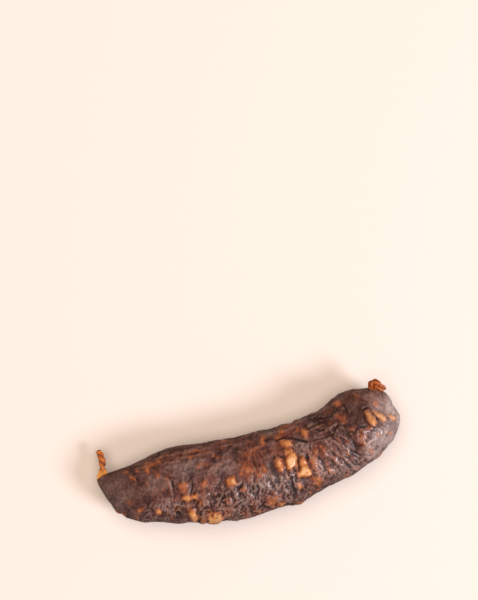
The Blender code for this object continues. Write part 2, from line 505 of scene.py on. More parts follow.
# %% Where the casing is wrinkled
# Each patch: x, y, size along x, size along y, and how strong
CRUMPLED = (
    (-9, -14, 46, 15, 1), (-45, -7, 18, 9, 0.7), (20.5, 1.5, 8, 7, 0.5), (9, -14, 16, 14, 0.9),
    (29, -13, 7, 5, 0.9), (-32, -9, 12, 12, 0.7), (-12, -8, 14, 8, 0.9),
)
FOLDED_ACROSS = (
    (37.5, -8, 19, 19, 1), (9, -13, 16, 14, 0.7), (26, -9, 10, 14, 0.7), (3, 0, 12, 10, 0.4),
    (41, -2, 9, 9, 0.5),
)
STREAKED_ALONG = (
    (-25, 14.5, 70, 8, 1), (31, 10, 24, 11, 1), (45, 9, 14, 14, 0.6), (8, 11, 30, 6, 0.6),
    (-28, 8, 26, 10, 0.4),
)
hidden = 1.0 - from_above
calm = smooth_step((-34.0 - seen[:, 0]) / 26.0)  # 1 at the smooth pointed end
shrunken = 1.0 - calm
hidden_mix = smooth_step(0.5 + 0.9 * noise_at(bare, 16.0 * MM, 21)) * hidden
crumpled = np.maximum(patches(CRUMPLED), 0.55 * hidden_mix * (1.0 - 0.7 * calm))
across = patches(FOLDED_ACROSS)
streaked = patches(STREAKED_ALONG)
broken = smooth_step(0.35 + 1.4 * noise_at(bare, 2.6 * MM, 34))  # 0 where the folds are interrupted
uneven = smooth_step(0.5 + 0.8 * noise_at(bare, 5.0 * MM, 25))  # crumpled in places, less in others
print("share that is crumpled:", round(float((crumpled > 0.5).mean()), 2))

# %% [markdown]
# ## Kinds of wrinkles
#
# Each kind is a noise of its own, because noise is uneven like a natural thing and has no seam.
# Plain noise gives soft swells, lumps and streaks. Its absolute value has sharp valleys between
# round cushions, and turned over it has thin sharp ridges. Cells round scattered points add a few
# flat pebbles. The warp bends every pattern a little, so nothing runs straight.

# %% Noise for each kind
swell = noise_at(bare, 15.0 * MM, 4) + 0.75 * noise_at(bare, 8.0 * MM, 5)
cushion = noise_at(bare + 0.8 * warp, 4.6 * MM, 6)
cleft = np.abs(noise_at(bare + 0.8 * warp, 5.6 * MM, 20))
lump = noise_at(bare + 0.6 * warp, 2.9 * MM, 26)
pebble = pebbles_at(bare + 1.2 * warp, 4.2 * MM, 30)
small_pebble = pebbles_at(bare + warp, 2.2 * MM, 33)
crumple = np.maximum(
    ridges_of(streaks_at(1.9, 2.8, 66, 7)), ridges_of(streaks_at(1.7, 2.8, 112, 27))
)
crimp = np.maximum(
    ridges_of(streaks_at(1.1, 3.4, 80, 10)), 0.8 * ridges_of(streaks_at(1.0, 2.4, 35, 28))
)
fold = streaks_at(1.4, 7.0, 99, 11, 0.2)
fine_fold = ridges_of(streaks_at(1.0, 8.0, 102, 12, 0.2))
streak = streaks_at(1.6, 5.0, 4, 13)
grain = noise_at(bare, 0.85 * MM, 14)
print("swell from", round(float(swell.min()), 2), "to", round(float(swell.max()), 2))

# %% [markdown]
# ## Heights of the wrinkles
#
# Every kind gets a height, and often one height everywhere and more where the casing has shrunk
# or crumpled. Large forms go into the relief at once. The small ones are kept apart as crinkles,
# because they fade out over fat, where the casing is stretched tight.

# %% Relief of the casing
SWELL = 0.50 * MM
CUSHION, CUSHION_SHRUNKEN, CUSHION_CRUMPLED = 0.07 * MM, 0.26 * MM, 0.22 * MM
CLEFT, CLEFT_TOP = 0.13 * MM, 0.3
PEBBLE, PEBBLE_SHRUNKEN, SMALL_PEBBLE = 0.04 * MM, 0.08 * MM, 0.04 * MM
LUMP, LUMP_SHRUNKEN = 0.03 * MM, 0.22 * MM
CRUMPLE, CRUMPLE_CRUMPLED = 0.02 * MM, 0.50 * MM
CRIMP, CRIMP_CRUMPLED = 0.19 * MM, 0.43 * MM
FOLD, FINE_FOLD, STREAK, GRAIN = 0.30 * MM, 0.22 * MM, 0.30 * MM, 0.08 * MM

relief = SWELL * swell
relief += (CUSHION + CUSHION_SHRUNKEN * shrunken + CUSHION_CRUMPLED * crumpled) * cushion
relief += CLEFT * shrunken * (np.minimum(cleft, CLEFT_TOP) - 0.25)
relief += (PEBBLE + PEBBLE_SHRUNKEN * shrunken) * (pebble - 0.7)
crinkle = (LUMP + LUMP_SHRUNKEN * shrunken * (0.5 + crumpled)) * (1 - 0.5 * across) * lump
crinkle += SMALL_PEBBLE * (small_pebble - 0.7)
crinkle += (CRUMPLE + CRUMPLE_CRUMPLED * crumpled * uneven * broken) * (crumple - 0.2)
crinkle += (CRIMP + CRIMP_CRUMPLED * crumpled * (1 - 0.5 * broken)) * (crimp - 0.2)
crinkle += across * (FOLD * fold + FINE_FOLD * (fine_fold - 0.35))
crinkle += STREAK * streaked * streak
crinkle += GRAIN * grain
crinkle = close_seam(crinkle)
print("crinkles, mm:", np.round([crinkle.min() / MM, crinkle.max() / MM], 2))

# %% [markdown]
# ## Fat
#
# The casing shrank on the meat and less on the fat, so every piece of fat stands up as a soft
# cushion. It is brightest where it touches the casing and fades through amber and russet into the
# meat round it, because there it lies deeper. So one number, how clearly fat shows, sets the
# colour from meat to straw. The weaker pieces are ovals, because their rims are too soft to show
# a shape.

# %% Weaker pieces of fat
# Each oval on the seen plan: x, y, size along x, size along y, how clearly it shows, and a turn in
# degrees where it has one
FAT = (
    # pointed third
    (-56.5, 13.7, 3.6, 1.2, 0.5), (-51.5, 13, 1.8, 2, 0.4), (-54.9, 10.6, 2.4, 1.9, 0.46, -30),
    (-53.4, 9.6, 2.2, 1.1, 0.5, -50), (-47.2, 12.2, 2.2, 4.4, 0.46, -10),
    (-46.2, 14.8, 3, 2, 0.5), (-42.2, 13.4, 5, 1.2, 0.46), (-41, 11.6, 3, 1.2, 0.4, 20),
    (-43.3, 8.1, 2.2, 3.4, 0.42, -10), (-49, 6.8, 1.6, 1.4, 0.42), (-45.6, 2.6, 2.2, 4, 0.28),
    (-58.6, 0.3, 3.4, 2.4, 0.34), (-55.1, -4.3, 2.3, 2.1, 0.54), (-53.6, -3.6, 1.8, 1.3, 0.42),
    (-47.5, -7.3, 2.4, 2.7, 0.7), (-56.9, -6.5, 1.3, 3.2, 0.42), (-42.8, -11.8, 2.2, 2, 0.4),
    (-39.6, -8.2, 2.4, 2.8, 0.46), (-38.6, -4, 3.8, 1.3, 0.56, 10),
    (-62, -4.3, 2.6, 1.8, 0.42, -40), (-42.9, 1.5, 2.6, 2.2, 0.28), (-48.6, 0.4, 1.6, 1.2, 0.36),
    (-40, 2, 1.2, 7, 0.36, -3), (-35.5, -5.6, 2.4, 1.4, 0.5), (-50, 13.6, 8, 2.2, 0.3),
    (-45, 13.8, 6, 3.4, 0.34), (-40.8, 14.9, 5, 1.4, 0.38), (-57.6, 14.3, 5, 1, 0.38),
    (-44.4, 10.4, 2, 3, 0.34), (-51.8, 4.8, 1.4, 1.6, 0.34), (-36.4, 15.6, 6, 1.1, 0.38, -5),
    (-31, 13.6, 5, 1.2, 0.34), (-43.6, -9.2, 2, 1.6, 0.36),
    # between the pointed third and the middle
    (-34.1, -10.4, 3.6, 3.4, 0.44), (-29, -8.3, 2.4, 4.8, 0.4), (-26.5, -4.6, 1.8, 1.6, 0.44),
    (-17, -11.2, 4.8, 4.6, 0.34), (-18.5, -16.4, 5.6, 6, 0.36), (-27.2, 11.8, 2.8, 1.2, 0.6, 25),
    (-17.3, 9.8, 0.9, 0.9, 0.75), (-15.4, 8.4, 3.4, 1.7, 0.48), (-22.2, 6.3, 3.6, 3.8, 0.2),
    (-20.2, 2.4, 2.4, 2.6, 0.3), (-15.5, 5.4, 4.4, 2.2, 0.26), (-25.2, 6, 1.6, 3.4, 0.18),
    (-24.5, 14.2, 7, 1.6, 0.42, -4), (-22.7, 12.5, 2.4, 1.6, 0.42), (-11, 14.6, 4, 1.4, 0.48),
    (-14.5, -7.5, 2.2, 2.2, 0.3), (-11.5, -18.5, 4, 4, 0.36), (-6.6, -16.5, 4.2, 5.6, 0.3),
    (-5.4, -20.2, 3, 1.3, 0.58), (-11, -20.4, 4.4, 1.2, 0.46), (-12.5, 11.2, 3, 1.4, 0.34, 20),
    (-8, 13.2, 5, 1.6, 0.36), (-19.4, 12, 4, 1.4, 0.34), (-31.4, 0.6, 1.6, 2.4, 0.28),
    (-21.8, -7.6, 2.2, 1.6, 0.34), (-7.4, -12.6, 2, 2.4, 0.3), (-14.6, -14, 2.4, 3, 0.32),
    # middle
    (-4.4, -0.6, 5, 7.4, 0.39), (-0.2, -4.2, 3.2, 5.2, 0.38), (0.2, 6.8, 5.6, 1.8, 0.4, 8),
    (-1, 5, 3.4, 2.6, 0.36), (5.1, 9, 2.2, 4.4, 0.5, -8), (6.4, 10.1, 2.2, 1.2, 0.48),
    (-0.8, 10.6, 2.6, 3, 0.3), (-4.6, 12.4, 3.4, 1.8, 0.34), (14, 2.9, 3, 1.6, 0.5, 10),
    (12.4, 5.6, 1.6, 3.4, 0.4), (21.4, 9.6, 2.6, 2.6, 0.44), (17, 12.9, 6.4, 2.2, 0.46),
    (12.4, 9.4, 3.4, 1.5, 0.54), (31.9, -13.2, 1.7, 1.3, 0.54), (1.8, -17.6, 5, 5.4, 0.47),
    (3.8, -15.6, 2, 2.4, 0.44), (5.4, -19.9, 3, 1.8, 0.7), (13.6, -20.6, 5, 1.8, 0.56),
    (19, -18.2, 1.6, 1.1, 0.62), (7.6, -12.6, 1.6, 1.8, 0.46), (29.7, -8.4, 1.9, 4, 0.34),
    (11.6, -8.8, 1.5, 2.6, 0.46),
    # towards the round end
    (36.4, 14.2, 5.2, 4.6, 0.26), (36.2, 8.6, 2.6, 2.4, 0.36), (31, 9.2, 2.6, 2, 0.4),
    (61.3, 13.2, 2.4, 2.4, 0.32), (63.2, 10.4, 2.6, 3, 0.32), (66, 3.2, 1.3, 3, 0.66),
    (49.4, -8.6, 3, 4.8, 0.46, 10), (39.7, -6.4, 1.5, 2.6, 0.52), (33.3, -8.2, 2.4, 4.4, 0.22),
    (34.6, -3, 2, 5, 0.22), (57, 1.5, 2.4, 2, 0.3), (38, -10.4, 1.4, 3, 0.36),
    (49.6, 0.6, 2, 1.2, 0.46), (41.5, -14, 3, 1.2, 0.42, 10), (36, -16.3, 5, 0.9, 0.5),
    (53, -11.3, 4, 0.9, 0.5, 30),
)
print("ovals of fat:", len(FAT))

# %% [markdown]
# ## Cubes of fat
#
# Fat is cut into cubes before it is mixed in, so the clearest pieces have corners and straight
# sides. They are laid down by their corners on the seen plan.

# %% Clear pieces of fat
# Each block: how clearly it shows, and its corners
BLOCKS = (
    (0.44, ((-36.3, 0.6), (-35.1, 2.2), (-32.6, 2), (-31.7, 0.2), (-32.2, -1.7), (-34.2, -2.7),
            (-35.7, -1.7))),
    (0.74, ((-35.9, -4.4), (-34.9, -3.6), (-32.6, -4), (-32.4, -6.3), (-33.8, -6.7),
            (-35.5, -5.5))),
    (0.62, ((-32, -4.2), (-28.8, -4.4), (-29.2, -5.9), (-31.5, -6.9), (-32.2, -5.5))),
    (0.76, ((-35.1, -12.1), (-33.8, -10.9), (-31.7, -11.7), (-31.5, -14.4), (-33, -16.3),
            (-34.3, -15.7))),
    (0.58, ((-31.7, -16.7), (-29.7, -14.8), (-28.6, -15.9), (-28.8, -17.7), (-31.1, -17.5))),
    (0.76, ((-27.8, -16.3), (-26.8, -15), (-22.6, -15), (-21.3, -16.3), (-21.5, -18.6),
            (-23.4, -19.6), (-26.1, -19), (-27.6, -18))),
    (0.56, ((-27.2, -13.6), (-26.1, -12.5), (-24.7, -13.2), (-25.3, -14.4), (-26.8, -14.6))),
    (0.44, ((-26.5, -0.9), (-24.9, 0), (-22.6, -0.4), (-23.2, -2.3), (-26.1, -2.7))),
    (0.64, ((-15.1, -3.2), (-14.2, -1.9), (-11.5, -1.9), (-11.3, -5.2), (-13.4, -5.5),
            (-14.9, -5))),
    (0.92, ((-12.8, -3), (-11.7, -2.8), (-11.5, -4.9), (-12.8, -4.9))),
    (0.52, ((-10.7, -8.2), (-8, -7.3), (-8, -9.4), (-9.9, -9.4))),
    (0.68, ((8.2, -0.2), (9.8, 0.4), (10.6, -0.9), (10.6, -4.6), (9.8, -6.1), (8.6, -5.5),
            (7.8, -2.8))),
    (0.44, ((10.4, -0.6), (11.6, -0.9), (11.9, -4), (10.8, -5.2))),
    (0.64, ((12.3, 7.4), (14.2, 7.4), (17.3, 5.6), (17.2, 3.9), (15, 3.5), (13, 5.2))),
    (0.6, ((12.8, 0.8), (13.4, 2.4), (16.3, 2.9), (17, 1.4), (16.3, 0.2), (13.2, -0.1))),
    (0.88, ((12.5, -2.5), (12.3, -5.3), (13.4, -6.2), (15.5, -5), (17.5, -2.1), (17.1, -0.3),
            (15.2, 0), (13.2, -0.9))),
    (0.6, ((16.7, -3.2), (17.3, -5.5), (16.3, -6.3), (15.4, -5.3))),
    (0.66, ((18.5, -3), (20.4, -2.7), (21.2, -4.8), (20.9, -7.3), (18.4, -7.3), (18, -5.5))),
    (0.84, ((18.4, -7), (20.9, -7), (21.9, -10.5), (20.9, -11.1), (18.2, -10.7), (15.7, -9.9),
            (15.8, -8.7))),
    (0.46, ((21.9, -6.7), (23, -3.6), (25.5, -4.4), (25.6, -7.1), (26.2, -10.2), (23.2, -11.2))),
    (0.6, ((23.4, -5.2), (24.8, -5.4), (24.6, -6.8), (23.4, -6.6))),
    (0.6, ((22.1, 8.7), (23.6, 9.7), (25.2, 8.7), (25.2, 6.4), (24, 4.5), (22.8, 6.8))),
    (0.5, ((13.2, 11), (14.4, 12.2), (15.5, 11.4), (15.2, 9.8), (13.6, 9.7))),
    (0.42, ((28.2, 0.6), (29.8, 0.6), (30.5, -2.1), (30.9, -5.2), (30, -5.3), (29, -2.5),
            (28, -0.9))),
    (0.54, ((25.3, -0.9), (26.7, -0.7), (27.1, -3), (25.9, -2.8))),
    (0.6, ((29, -10.4), (30.5, -10.2), (30.5, -12.5), (29.2, -12.1))),
    (0.68, ((14.6, -12.5), (15.7, -12.5), (16.3, -14.8), (15.5, -15.7), (14.4, -14.4))),
    (0.5, ((20.9, -14.4), (22, -11.6), (25.2, -11.6), (25.8, -14.6), (23.2, -16.6))),
    (0.5, ((38.8, 16.4), (40.5, 17.3), (42.6, 16.8), (43.4, 15.6), (42.2, 14.1), (40.1, 14.8))),
    (0.38, ((38.4, 11.6), (40.1, 11.8), (43.8, 9.8), (43, 6.4), (40.9, 6.8), (40.1, 8.9),
            (38.6, 10.2))),
    (0.38, ((45.9, 1), (48.4, 1), (49, -2.3), (48.2, -5.7), (47, -5.7), (45.3, -3.6))),
    (0.42, ((49, 18.5), (50.9, 18.5), (52.2, 16.4), (50.5, 16))),
    (0.7, ((52.6, 9), (53.8, 9.6), (54.8, 8), (55.6, 5.6), (55.6, 3.2), (54.2, 1.8), (52.8, 3.4),
            (52.3, 5.8))),
    (0.8, ((55.6, 8.8), (56.7, 8.6), (59, 6.4), (60.3, 4.6), (59.9, 2.7), (58.2, 2.6),
            (57.3, 4.4), (56.5, 6.4))),
    (0.94, ((57.9, 4.8), (59.3, 5.2), (59.8, 3.6), (58.6, 3))),
    (0.5, ((57.2, 12.7), (58.4, 13.5), (59.7, 11.4), (59, 8.9), (57.6, 9.8), (56.8, 11.2))),
    (0.8, ((61.8, 4.3), (63, 4.3), (64.3, 3.1), (63.4, 1.2), (62, 2.2))),
    (0.62, ((54, -1.3), (54.9, -1.5), (55.2, -3.6), (54.5, -3.8))),
    (0.54, ((58, -2.3), (58.8, -1.9), (61.1, -3.2), (60.1, -4.4), (58.4, -3.6))),
)
print("blocks of fat:", len(BLOCKS))

# %% [markdown]
# ## Laying the fat in
#
# Oval or block, a piece is a distance that is 0 in its middle and 1 at its rim, so one function
# lays both kinds. A noise makes the rims uneven. The side towards the window gets a painted
# highlight: it is drawn a little lighter than the other. A shallow moat round a clear piece is
# where the casing turns down to the meat.

# %% Lay the ovals
FAT_RISE = 1.0 * MM  # how far a clearly showing piece stands up
HALO, MOAT = 0.34, 0.34  # strength of the glow and of the moat round a piece
fat_noise = 0.26 * noise_at(bare, 2.3 * MM, 15) + 0.16 * noise_at(bare, 1.1 * MM, 16)
over_the_side = 3.0 * np.clip(0.2 - bare_normal[:, 2], 0.0, None)  # ends pieces below the outline
fat = np.zeros(len(bare))
fat_relief = np.zeros(len(bare))


def lay_fat(distance, shows, wide, window_side_highlight=0.0, rough=1.0):
    """Adds one piece by its distance from it, painted lighter on its side towards the window."""
    distance = distance * (1.0 + rough * fat_noise) + 0.4 * rough * fat_noise
    soft = 0.55 if shows > 0.6 else 0.95
    body = smooth_step((1.0 + soft / 2 - distance) / soft)
    halo = HALO * smooth_step((2.3 - distance) / 1.7) * min(1.0, shows / 0.6)
    dome = np.clip(1.0 - (distance / 1.25) ** 3, 0.0, 1.0)
    moat = np.exp(-(((distance - 1.4) / 0.3) ** 2)) * (shows > 0.5)
    size_share = min(1.0, wide / 4.0) * min(1.0, shows / 0.6) ** 2
    fat_relief[:] += FAT_RISE * size_share * (0.45 + shows) * (dome - MOAT * moat)
    fat[:] = np.maximum(fat, np.maximum(shows * body * (1.0 + window_side_highlight - 0.10 * distance**2), halo))


for x, y, size_x, size_y, shows, *turned in FAT:
    turn = math.radians(sum(turned))
    offset_x, offset_y = seen[:, 0] - x, seen[:, 1] - y
    first = (offset_x * math.cos(turn) + offset_y * math.sin(turn)) / (size_x / 2)
    second = (offset_y * math.cos(turn) - offset_x * math.sin(turn)) / (size_y / 2)
    squareness = 3.2 if shows > 0.6 else 2.2
    distance = (np.abs(first) ** squareness + np.abs(second) ** squareness) ** (1.0 / squareness)
    # painted highlight: the side of the piece towards the window is drawn lighter
    window_side_highlight = 0.16 * np.clip(offset_x / size_x, -0.5, 0.5)
    lay_fat(distance + over_the_side, shows, min(size_x, size_y), window_side_highlight)
print("share of the skin that shows fat:", round(float((fat > 0.4).mean()), 3))

# %% [markdown]
# ## Laying the cubes in
#
# For a cube the distance is that to its nearest side, counted below zero inside. A place is
# inside when a line from it to the right crosses an odd number of sides.

# %% Lay the blocks
BLOCK_RIM = 0.88  # the soft rim lies a little outside the corners


def to_line(start, end):
    """Distance on the seen plan from every vertex to a straight line, and the share along it."""
    start, end = np.array(start), np.array(end)
    share = np.clip((seen - start) @ (end - start) / np.sum((end - start) ** 2), 0.0, 1.0)
    return np.linalg.norm(seen - (start + share[:, None] * (end - start)), axis=1), share


for shows, corners in BLOCKS:
    gap = np.full(len(seen), 1e9)
    inside = np.zeros(len(seen), bool)
    for start, end in zip(corners, (*corners[1:], corners[0])):
        gap = np.minimum(gap, to_line(start, end)[0])
        crosses = (start[1] > seen[:, 1]) != (end[1] > seen[:, 1])
        slope = (end[0] - start[0]) / ((end[1] - start[1]) or 1e-9)
        inside ^= crosses & (seen[:, 0] < start[0] + slope * (seen[:, 1] - start[1]))
    middle = np.mean(corners, axis=0)
    half_size = np.mean(np.linalg.norm(np.array(corners) - middle, axis=1)) * 0.8
    distance = BLOCK_RIM + np.where(inside, -gap, gap) / half_size + over_the_side
    # painted highlight: the side of the block towards the window is drawn lighter
    window_side_highlight = 0.3 * np.clip((seen[:, 0] - middle[0]) / (4 * half_size), -0.5, 0.5)
    lay_fat(distance, shows, 2 * half_size, window_side_highlight, rough=0.35)
print("share with the blocks:", round(float((fat > 0.4).mean()), 3))

# %% [markdown]
# ## Fat on the sides and underneath
#
# What the photograph doesn't show is finished like what it does. A seeded scatter lays the same
# kinds of pieces there. A fixed seed makes it the same in every run.

# %% Scattered fat
SCATTER_SEED = 5
SCATTER_TRIES = 300
SCATTER_SIZES = (1.8, 6.4)  # mm
SCATTER_GAP = 5.4 * MM
SCATTER_REACH = 12.0 * MM  # keeps a piece from showing on the far side too
rng = np.random.default_rng(SCATTER_SEED)
placed = []
for _ in range(SCATTER_TRIES):
    index = int(rng.integers(len(bare)))
    size_first, size_second = rng.uniform(*SCATTER_SIZES, 2) * MM
    turn = rng.uniform(0.0, math.pi)
    shows = float(rng.choice((0.34, 0.46, 0.62, 0.78), p=(0.35, 0.35, 0.2, 0.1)))
    keeps_clear = all(np.linalg.norm(bare[index] - other) > SCATTER_GAP for other in placed)
    if bare_normal[index, 2] < -0.2 and radius[index] > 9 * MM and keeps_clear:
        placed.append(bare[index])
        first = unit(along[index] * math.cos(turn) + np.cross(bare_normal[index], along[index])
                     * math.sin(turn))
        second = np.cross(bare_normal[index], first)
        offset = bare - bare[index]
        distance = np.hypot(offset @ first / (size_first / 2), offset @ second / (size_second / 2))
        distance += 9.0 * (np.linalg.norm(offset, axis=1) > SCATTER_REACH)
        lay_fat(distance, shows, min(size_first, size_second) / MM)
print("pieces on the sides and underneath:", len(placed))

# %% [markdown]
# ## Creases and ridges
#
# Where the filling parted, the casing fell into long cracks, and between them it stands up in
# thin ridges. Each is a line on the seen plan with a depth and a width, and a ridge has a depth
# below zero. A vertex goes down by how near it is to the line, and both ends of a line fade out.

# %% Lines on the skin
# Each line: its depth and half width in millimetres, and its points
LINES = (
    (0.6, 0.4, ((9.6, 9.3), (11.2, 8.3), (14, 7.9), (17, 7), (20, 6), (22, 4.6), (23.9, 3.1))),
    (0.6, 0.5, ((21.6, 5.2), (23.6, 3.4), (24.2, 1.6), (24.4, -0.6))),
    (0.4, 0.35, ((24.5, 3), (28, 3.4), (31.5, 3), (35, 3.5), (38.8, 3.4))),
    (0.5, 0.4, ((36.4, 6.2), (39, 6.3), (41.5, 5.6), (43.4, 5.4))),
    (0.35, 1.6, ((39.6, 3.2), (41.6, 0.6), (43.6, -3.2), (44.8, -7), (45.8, -10))),
    (-0.7, 2.2, ((45.6, 4), (47, 0), (48.4, -4), (49.4, -9))),
    (0.4, 0.4, ((17.8, -1), (17.7, -3.6), (17.3, -6.6))),
    (0.6, 0.5, ((26.7, -3.6), (27.8, -6.4), (28.2, -9.6), (29, -12))),
    (0.7, 0.7, ((21.8, -1), (22, -3.4), (22, -6.6))),
    (0.7, 0.5, ((12.2, -6.6), (13.2, -6), (14.4, -5.9))),
    (0.35, 0.7, ((13, -6.4), (12.6, -10), (12.4, -14), (12, -18.5))),
    (0.6, 0.6, ((8.4, -8.6), (8.8, -12), (10.2, -15.4))),
    (0.35, 0.4, ((-29.2, 1.6), (-30.2, -1), (-31.4, -3.4))),
    (0.5, 0.5, ((-38.1, 6.4), (-38, 1.5), (-38.9, -2.6))),
    (0.7, 0.8, ((-40.2, -8.6), (-39.4, -10.6), (-38.6, -13))),
    (0.6, 0.45, ((-21.6, -13.4), (-20, -10.6), (-17.8, -9), (-15.4, -9.8))),
    (0.6, 0.45, ((-11.6, -8.2), (-9.8, -7.2), (-7.6, -3.6))),
    (0.6, 0.45, ((-53.2, 11), (-52.6, 9.8), (-51.9, 8.6))),
    (0.5, 0.5, ((49.4, 10.1), (52, 10.3), (55.4, 10.6))),
    (0.5, 0.5, ((-11.2, 7.6), (-9.6, 5.2), (-7.6, 4))),
    (0.5, 0.5, ((-12, 10), (-9.4, 11.6), (-6.2, 11.8))),
    (0.5, 0.5, ((30, 13.6), (34, 11.8), (37.6, 11.6), (39.2, 13.2))),
    (0.3, 0.5, ((43, 17.6), (44, 14.2), (44.4, 10.4), (43, 8.2))),
    (0.5, 0.5, ((28, 9), (30.6, 7), (34.2, 6.4))),
    (0.5, 0.4, ((55, 9.6), (55.7, 7.8), (56.3, 5.6), (56.6, 3))),
    (0.35, 0.5, ((45, 0.8), (46.4, 2.4), (49, 3), (52, 2.4))),
    (-0.35, 0.5, ((-39.8, 6), (-39.4, 2), (-39.6, -2.4))),
    (-0.25, 0.6, ((-33.4, 2.6), (-32.4, 5.6), (-30.4, 8.4), (-27.4, 11))),
    (-0.25, 0.6, ((18, 3), (19.8, 4), (21.8, 3.2))),
    (-0.3, 0.5, ((24.4, -6), (26, -7.4), (27.2, -10.6), (28, -13.2))),
    (-0.45, 0.6, ((9, -7), (9.4, -10), (10, -13))),
    (-0.45, 0.7, ((-2, -7), (-1, -9.4), (-1.6, -12))),
    (0.6, 0.5, ((-2.6, -8), (-2.8, -11), (-4.4, -13.6))),
    (-0.45, 0.7, ((-13.6, -7.4), (-12.8, -9.8), (-13.2, -12.6))),
    (-0.6, 2.2, ((-19.4, -12), (-16.6, -11.6), (-14.8, -13.2))),
    (-0.3, 0.5, ((3.6, -13.4), (5, -16), (6, -18.6))),
    (-0.3, 0.5, ((8.6, -14), (9.8, -16), (10, -18.6))),
    (-0.3, 0.5, ((-22, -9.6), (-22.4, -12), (-21.6, -14))),
    (-0.3, 0.6, ((41.8, -9.4), (43.6, -11), (46.6, -10.8))),
)
print("creases and ridges:", len(LINES))

# %% [markdown]
# ## Pressing the lines in
#
# The depth wavers with two noises, one for the width and one that breaks a line up, because no
# crease in dried casing is even. How deep a vertex lies in a crease is kept for the painted shade
# in it.

# %% Press the lines in


def distance_to_line(points):
    """Distance on the seen plan from every vertex to a line of points, and the share along it."""
    lengths = np.linalg.norm(np.diff(np.array(points), axis=0), axis=1)
    starts = np.concatenate(([0.0], np.cumsum(lengths)))
    nearest = np.full(len(seen), 1e9)
    share = np.zeros(len(seen))
    for a, b, start, length in zip(points, points[1:], starts, lengths):
        gap, t = to_line(a, b)
        closer = gap < nearest
        share = np.where(closer, (start + t * length) / starts[-1], share)
        nearest = np.where(closer, gap, nearest)
    return nearest, share


WIDE_FOLD = 1.5  # mm; a fold as wide as this isn't dark
crease = np.zeros(len(bare))
waver = 1.0 + 0.5 * noise_at(bare, 2.0 * MM, 17)
break_up = smooth_step(0.65 + 1.0 * noise_at(bare, 2.6 * MM, 18))
for depth, half_wide, points in LINES:
    gap, share = distance_to_line(points)
    fading = np.sin(math.pi * np.clip(share, 0.03, 0.97)) ** 0.6
    cut = np.exp(-((gap / (half_wide * waver)) ** 2)) * fading * break_up * from_above
    relief -= depth * MM * cut
    if depth > 0.0:
        crease = np.maximum(crease, cut**1.5 * min(1.0, depth) * (half_wide < WIDE_FOLD))
print("vertices in a crease:", int((crease > 0.3).sum()))

# %% [markdown]
# ## The outline
#
# Noise alone wouldn't give this link its own outline. So the places of its rim were measured in
# the photograph, closer together where it bends more, and the skin is trimmed to them later on.

# %% Outline measured in the photograph
# Each pair, in millimetres on the plan: a station along the link, and where the rim lies across it.
# At the two ends it is a station across the link, and where the rim lies along it
HOLLOW_OUTLINE = (
    (-66, 15), (-64.8, 15.4), (-60, 15.5), (-55, 15.8), (-50, 16.5), (-45, 17.3), (-40, 18.1),
    (-35, 18.4), (-30, 17.8), (-25, 17.1), (-20, 16.3), (-15, 15.7), (-10, 15.1), (-5, 14.3),
    (0, 14.6), (5, 14.5), (8.3, 13.6), (12.7, 13.5), (17.4, 13.8), (20.2, 13.4), (25, 14.3),
    (30, 14.9), (33.3, 15.1), (35.5, 16.5), (40, 18.5), (43, 19.6), (45.4, 20.1), (48.3, 20.1),
    (50.8, 19.4), (53.6, 18.7), (57, 18.7),
)
LOW_OUTLINE = (
    (-60, -7.6), (-56.4, -10.1), (-50, -11.3), (-45, -13.2), (-41, -14.8), (-35, -16),
    (-29.6, -17.9), (-26.4, -19.3), (-23, -19.6), (-19, -19.6), (-13, -21), (-10, -21.3),
    (-5, -21.2), (0, -20.8), (5, -21), (8.9, -21.2), (11.4, -22.1), (15, -21.6), (18, -20.4),
    (20, -19.9), (25, -19), (29, -17.6), (32, -17.5), (39.2, -16.5), (44.5, -14.6), (50.1, -13.1),
    (52.9, -12.1), (55, -10.3), (57.9, -8.4),
)
LEFT_OUTLINE = ((-5.1, -63.5), (-2.5, -65.5), (0, -66.9), (4, -68), (7.4, -68.8), (12, -70.1))
RIGHT_OUTLINE = (
    (-5.6, 62), (-2.1, 64.5), (0.4, 66.1), (2.9, 66.7), (6.6, 65.1), (11.3, 64.5), (14.8, 63.3),
)
print("stations of the outline:", len(HOLLOW_OUTLINE + LOW_OUTLINE + LEFT_OUTLINE + RIGHT_OUTLINE))

# %% [markdown]
# ## Blur and trim
#
# The vertices stand in rows and columns, so a mean over the neighbours is a simple blur of a
# table. It takes the hardness out of the fat, and later it tells which places lie in a dent. The
# trim moves the rim to its place at each station, and the skin behind it follows less and less.

# %% Helpers for blur and trim


def blur(values, reach_around, reach_along):
    """Mean over a rectangle of neighbours, for values in rows. The last row is the first."""
    field = values.reshape(rows)[:-1]
    for axis, reach in ((0, reach_around), (1, reach_along)):
        width = [(0, 0), (0, 0)]
        width[axis] = (reach, reach)
        padded = np.pad(field, width, mode="wrap" if axis == 0 else "edge")
        total = np.cumsum(padded, axis=axis)
        total = np.insert(total, 0, 0.0, axis=axis)
        size = 2 * reach + 1
        upper = np.take(total, range(size, total.shape[axis]), axis=axis)
        lower = np.take(total, range(0, total.shape[axis] - size), axis=axis)
        field = (upper - lower) / size
    return np.vstack((field, field[:1])).ravel()


def trim(points, outline, station_axis, sign, middle):
    """Moves a rim on to its outline. Skin nearer to the middle moves less, and none beyond it."""
    moved_axis = 1 - station_axis
    at = points[:, station_axis]
    reach = sign * (points[:, moved_axis] - middle)
    stations = np.array([station for station, _ in outline])
    rims = np.array([reach[np.abs(at - station) < 0.7].max() for station in stations])
    goals = np.array([sign * (goal - middle) for _, goal in outline])
    steps = np.linspace(-2.5, 2.5, 11)
    shift = np.mean([np.interp(at + step, stations, goals - rims) for step in steps], axis=0)
    rim = np.interp(at, stations, rims)
    weight = np.clip(reach / rim, 0.0, 1.0) ** 2
    within = smooth_step((at - stations[0] + 4.0) / 4.0)
    within *= smooth_step((stations[-1] + 4.0 - at) / 4.0)
    points[:, moved_axis] += sign * shift * weight * within


print("clearest fat after a wide blur:", round(float(blur(fat, 8, 8).max()), 2))

